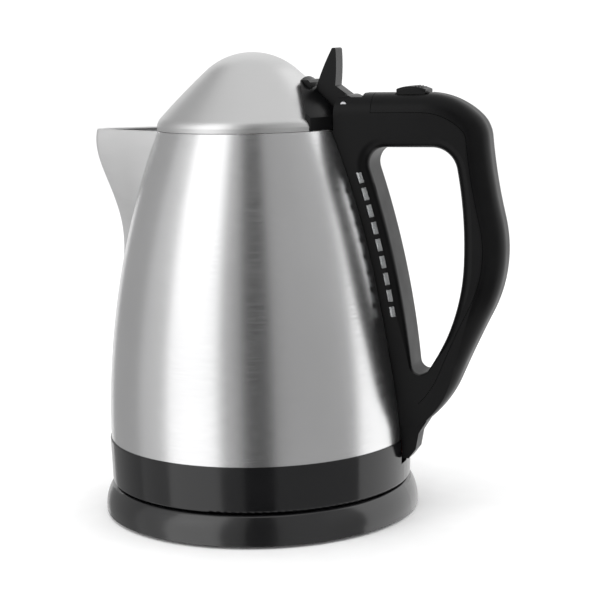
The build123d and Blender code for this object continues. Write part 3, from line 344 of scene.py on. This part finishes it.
def circle_through(first, second, third):
    """Centre and radius of the circle through three points of a side view."""
    side_a, side_b = second - first, third - first
    turn = 2 * (side_a.x * side_b.y - side_a.y * side_b.x)
    square_a, square_b = side_a.length_squared, side_b.length_squared
    offset = Vector(
        (
            (side_b.y * square_a - side_a.y * square_b) / turn,
            (side_a.x * square_b - side_b.x * square_a) / turn,
        )
    )
    return first + offset, offset.length


# %% [markdown]
# ## Rolled lip of the spout
#
# A sheet edge that water runs over is rolled, so that it pours cleanly and cuts nobody. The roll is
# a thin tube that follows the beak: straight along one flank, round the nose and back along the
# other. One circle does it all: it is extruded along the flank, spun round the nose and extruded
# again.

# %% Spout lip
lip_radius = 0.75 * mm
nose_radius = 5.0 * mm
nose_x = -79.0 * mm
flank_across, flank_along = 19.0, 38.94
flank_angle = math.atan2(flank_across, flank_along)
lip_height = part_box("spout")[1][2] - 0.2 * mm
lip_reach = nose_radius - lip_radius
nose_touch = Vector(
    (nose_x - lip_reach * math.sin(flank_angle), lip_reach * math.cos(flank_angle), lip_height)
)
flank_run = 45.0 * mm
flank_step = Vector((math.cos(flank_angle), math.sin(flank_angle), 0)) * flank_run
far_step = Vector((flank_step.x, -flank_step.y, 0))

bpy.ops.object.select_all(action="DESELECT")
bpy.ops.mesh.primitive_circle_add(
    vertices=20,
    radius=lip_radius,
    location=nose_touch + flank_step,
    rotation=(math.pi / 2, 0, math.pi / 2 + flank_angle),
)
spout_lip = start("spout_lip")
bpy.ops.mesh.select_all(action="SELECT")
bpy.ops.mesh.extrude_region_move(TRANSFORM_OT_translate={"value": -flank_step})
bpy.ops.mesh.spin(
    steps=18, angle=2 * flank_angle - math.pi, center=(nose_x, 0, lip_height), axis=(0, 0, 1)
)
bpy.ops.mesh.extrude_region_move(TRANSFORM_OT_translate={"value": far_step})
bpy.ops.mesh.edge_face_add()
bpy.ops.mesh.select_all(action="DESELECT")
bpy.ops.mesh.select_non_manifold()
bpy.ops.mesh.edge_face_add()
finish_piece(spout_lip, "kettle", spout_steel)
lip_low = min(vertex.co.x for vertex in spout_lip.data.vertices)
spout_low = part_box("spout")[0]
print("lip reaches", round(lip_low / mm, 2), "spout box", [round(c / mm, 2) for c in spout_low])

# %% [markdown]
# ## Bars over the water gauge
#
# The clear gauge shows at both sides of the spine. Short black bars cross it at even heights, so
# that the water level can be read against them. One bar is modelled for each height, square to the
# leaning wall, and the bars of one side are joined.

# %% Gauge bars
wall_arc = 415.8 * mm
wall_arc_x = -341.3 * mm
wall_start = 38.0 * mm
gauge_middle_depth = 4.15 * mm
gauge_low, gauge_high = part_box("water_gauge")
bar_size = (2.6 * mm, 0.24 * mm, 2.4 * mm)
bar_pitch = 8.0 * mm
bar_count = 8
first_bar = gauge_low[2] + 6.0 * mm


def gauge_bar(side, number):
    """One bar across the gauge on one side."""
    height = first_bar + number * bar_pitch
    lean = math.asin((height - wall_start) / (wall_arc + gauge_middle_depth))
    reach = wall_arc_x + (wall_arc + gauge_middle_depth) * math.cos(lean)
    return bar("gauge_bar", bar_size, (reach, side * gauge_high[1], height), -lean, 0.08 * mm)


for side, side_name in ((-1, "front"), (1, "back")):
    bars = join([gauge_bar(side, number) for number in range(bar_count)])
    bars.name = "gauge_bars_" + side_name
    finish_piece(bars, "kettle", handle_black)

# %% [markdown]
# ## Grip ribs on the thumb lever
#
# A wet thumb slips on smooth plastic, so the front of the lever has raised ribs across it. They
# follow the curve of the lever's face, which is one arc in side view.

# %% Lever ribs
lever_centre, lever_arc = circle_through(
    Vector((34.4, 206.0)) * mm, Vector((37.4, 214.2)) * mm, Vector((42.6, 225.0)) * mm
)
rib_size = (0.7 * mm, 7.4 * mm, 0.9 * mm)
rib_count = 5
rib_pitch = 2.4 * mm
first_rib = 211.5 * mm


def lever_rib(number):
    """One rib across the front of the lever."""
    height = first_rib + number * rib_pitch
    lean = math.asin((height - lever_centre.y) / lever_arc)
    reach = lever_centre.x - lever_arc * math.cos(lean)
    return bar("lever_rib", rib_size, (reach, 0, height), lean, 0.25 * mm)


lever_ribs = join([lever_rib(number) for number in range(rib_count)])
lever_ribs.name = "lever_ribs"
finish_piece(lever_ribs, "lid", lever_black)

# %% [markdown]
# ## Ridges on the rocker
#
# The rear half of the rocker is the half that is pressed to boil. Three fine ridges tell the finger
# where it is.

# %% Rocker ridges
crest_centre, crest_arc = circle_through(
    Vector((74.8, 206.6)) * mm, Vector((81.4, 207.8)) * mm, Vector((89.0, 206.2)) * mm
)
ridge_size = (0.7 * mm, 8.6 * mm, 0.6 * mm)
ridge_count = 3
ridge_pitch = 1.5 * mm
first_ridge = 83.6 * mm


def rocker_ridge(number):
    """One ridge across the rocker."""
    reach = first_ridge + number * ridge_pitch
    lean = math.asin((reach - crest_centre.x) / crest_arc)
    height = crest_centre.y + crest_arc * math.cos(lean)
    return bar("rocker_ridge", ridge_size, (reach, 0, height), lean, 0.22 * mm)


rocker_ridges = join([rocker_ridge(number) for number in range(ridge_count)])
rocker_ridges.name = "rocker_ridges"
finish_piece(rocker_ridges, "switch", lever_black)

# %% [markdown]
# ## Studio
#
# Brushed steel has hardly any look of its own: it shows the room. So the room is built on purpose,
# from a pale floor, a white sky, soft lamps and upright cards. The floor is one large plane of matt
# paper. It is left out of reflections, because it would wash out the foot of the steel body.

# %% Floor
floor_size = 8.0
bpy.ops.object.select_all(action="DESELECT")
bpy.ops.mesh.primitive_plane_add(size=floor_size, location=(0, 0, 0))
floor = bpy.context.object
floor.name = "studio_floor"
floor_paper, floor_tree, floor_shader = shader_of("floor_paper", Roughness=0.9)
floor_grain = noise(floor_tree, (1, 1, 1), 60.0, 2.0)
floor_tree.links.new(
    colours(floor_tree, floor_grain, (0.93, 0.93, 0.93), (0.95, 0.95, 0.95)),
    floor_shader.inputs["Base Color"],
)
floor.data.materials.append(floor_paper)
floor.visible_glossy = False
print("floor", floor.name, floor_size, "m wide")

# %% [markdown]
# ## Sky
#
# An even white sky lights the kettle from all round and gives the floor its soft, wide shadow.

# %% Sky
sky_strength = 1.12
world = bpy.data.worlds.new("studio_sky")
world.use_nodes = True
world.node_tree.nodes["Background"].inputs["Color"].default_value = (1.0, 1.0, 1.0, 1)
world.node_tree.nodes["Background"].inputs["Strength"].default_value = sky_strength
bpy.context.scene.world = world
print("sky strength", sky_strength)

# %% [markdown]
# ## Lamps and cards
#
# Cards stand round the table in white, grey and black, so that the round body shows them as tall
# upright bands. They are seen only in reflections. Three soft lamps do the rest of the lighting.

# %% Places round the kettle
def round_place(azimuth, distance, height):
    """A point round the kettle; azimuth 0 is in front, on -Y, and 90 is on +X."""
    turn = math.radians(azimuth)
    return Vector((distance * math.sin(turn), -distance * math.cos(turn), height))


def face(obj, target):
    """Turns a lamp or card towards a point."""
    obj.rotation_euler = (target - obj.location).to_track_quat("-Z", "Y").to_euler()


# %% Helpers for lamps and cards
kettle_middle = Vector((0, 0, 0.11))


def lamp(name, azimuth, distance, height, size, power):
    """A soft rectangular lamp aimed at the middle of the kettle."""
    light = bpy.data.lights.new(name, "AREA")
    light.shape = "RECTANGLE"
    light.size, light.size_y = size
    light.energy = power
    holder = bpy.data.objects.new(name, light)
    bpy.context.collection.objects.link(holder)
    holder.location = round_place(azimuth, distance, height)
    face(holder, kettle_middle)
    return holder


def card(name, first_azimuth, last_azimuth, glow, distance=0.95, bottom=-0.7, top=1.5):
    """An upright card between two azimuths that shows only in reflections."""
    middle = (first_azimuth + last_azimuth) / 2
    width = 2 * distance * math.tan(math.radians((last_azimuth - first_azimuth) / 2))
    bpy.ops.object.select_all(action="DESELECT")
    bpy.ops.mesh.primitive_plane_add(size=1.0)
    sheet = bpy.context.object
    sheet.name = name
    card_height = (bottom + top) / 2
    sheet.location = round_place(middle, distance, card_height)
    face(sheet, Vector((0, 0, card_height)))
    sheet.scale = (width, top - bottom, 1)
    paper, _, shader = shader_of(name + "_paper", Roughness=1.0)
    shader.inputs["Base Color"].default_value = (0, 0, 0, 1)
    shader.inputs["Specular IOR Level"].default_value = 0.0
    shader.inputs["Emission Color"].default_value = (1, 1, 1, 1)
    shader.inputs["Emission Strength"].default_value = glow
    sheet.data.materials.append(paper)
    sheet.visible_camera = False
    sheet.visible_shadow = False
    sheet.visible_diffuse = False
    sheet.visible_transmission = False
    return sheet


# %% Cards
ceiling_height = 1.62
ceiling_width = 4.0
cards = [
    card("card_white_front", -50, -8, 1.35),
    card("card_soft_front", -8, 9, 0.42),
    card("card_black_camera", 9, 31, 0.07),
    card("card_grey_right", 31, 98, 0.40),
    card("card_white_right", 98, 165, 1.25),
    card("card_soft_left", -78, -50, 0.6),
    card("card_grey_left", -128, -78, 0.38),
    card("card_white_back", 175, 225, 0.9),
]
ceiling = card("card_ceiling", -1, 1, 0.75)
ceiling.location = (0, 0, ceiling_height)
ceiling.rotation_euler = (0, 0, 0)
ceiling.scale = (ceiling_width, ceiling_width, 1)
print("cards", [sheet.name for sheet in cards], ceiling.name)

# %% Lamps
lamp("key_lamp", -38, 1.5, 0.95, (0.6, 0.9), 5)
lamp("fill_lamp", 95, 1.6, 0.9, (0.6, 0.9), 2)
top_lamp = lamp("top_lamp", 10, 0.25, 1.7, (1.4, 1.4), 4)
top_lamp.visible_glossy = False
bpy.context.scene.view_settings.view_transform = "Standard"

# %% [markdown]
# ## Camera
#
# A long lens a little above the table, turned 22 degrees towards the handle and tilted slightly.

# %% Camera
view_azimuth = math.radians(22)
view_distance = 0.8
view_height = 0.2362
view_roll = math.radians(-1.3)
aim_side = 0.021
aim_height = 0.1026
focal_length = 98.29
sensor_width = 36
camera_place = Vector(
    (view_distance * math.sin(view_azimuth), -view_distance * math.cos(view_azimuth), view_height)
)
aim = Vector((aim_side * math.cos(view_azimuth), aim_side * math.sin(view_azimuth), aim_height))
forward = (aim - camera_place).normalized()
level_right = forward.cross(Vector((0, 0, 1))).normalized()
level_up = level_right.cross(forward)
camera_right = level_right * math.cos(view_roll) + level_up * math.sin(view_roll)
camera_up = level_up * math.cos(view_roll) - level_right * math.sin(view_roll)
lens = bpy.data.cameras.new("camera")
lens.lens = focal_length
lens.sensor_width = sensor_width
camera = bpy.data.objects.new("camera", lens)
bpy.context.collection.objects.link(camera)
turned = Matrix((camera_right, camera_up, -forward)).transposed()
camera.matrix_world = Matrix.Translation(camera_place) @ turned.to_4x4()
bpy.context.scene.camera = camera
print("camera", [round(value, 3) for value in camera_place])
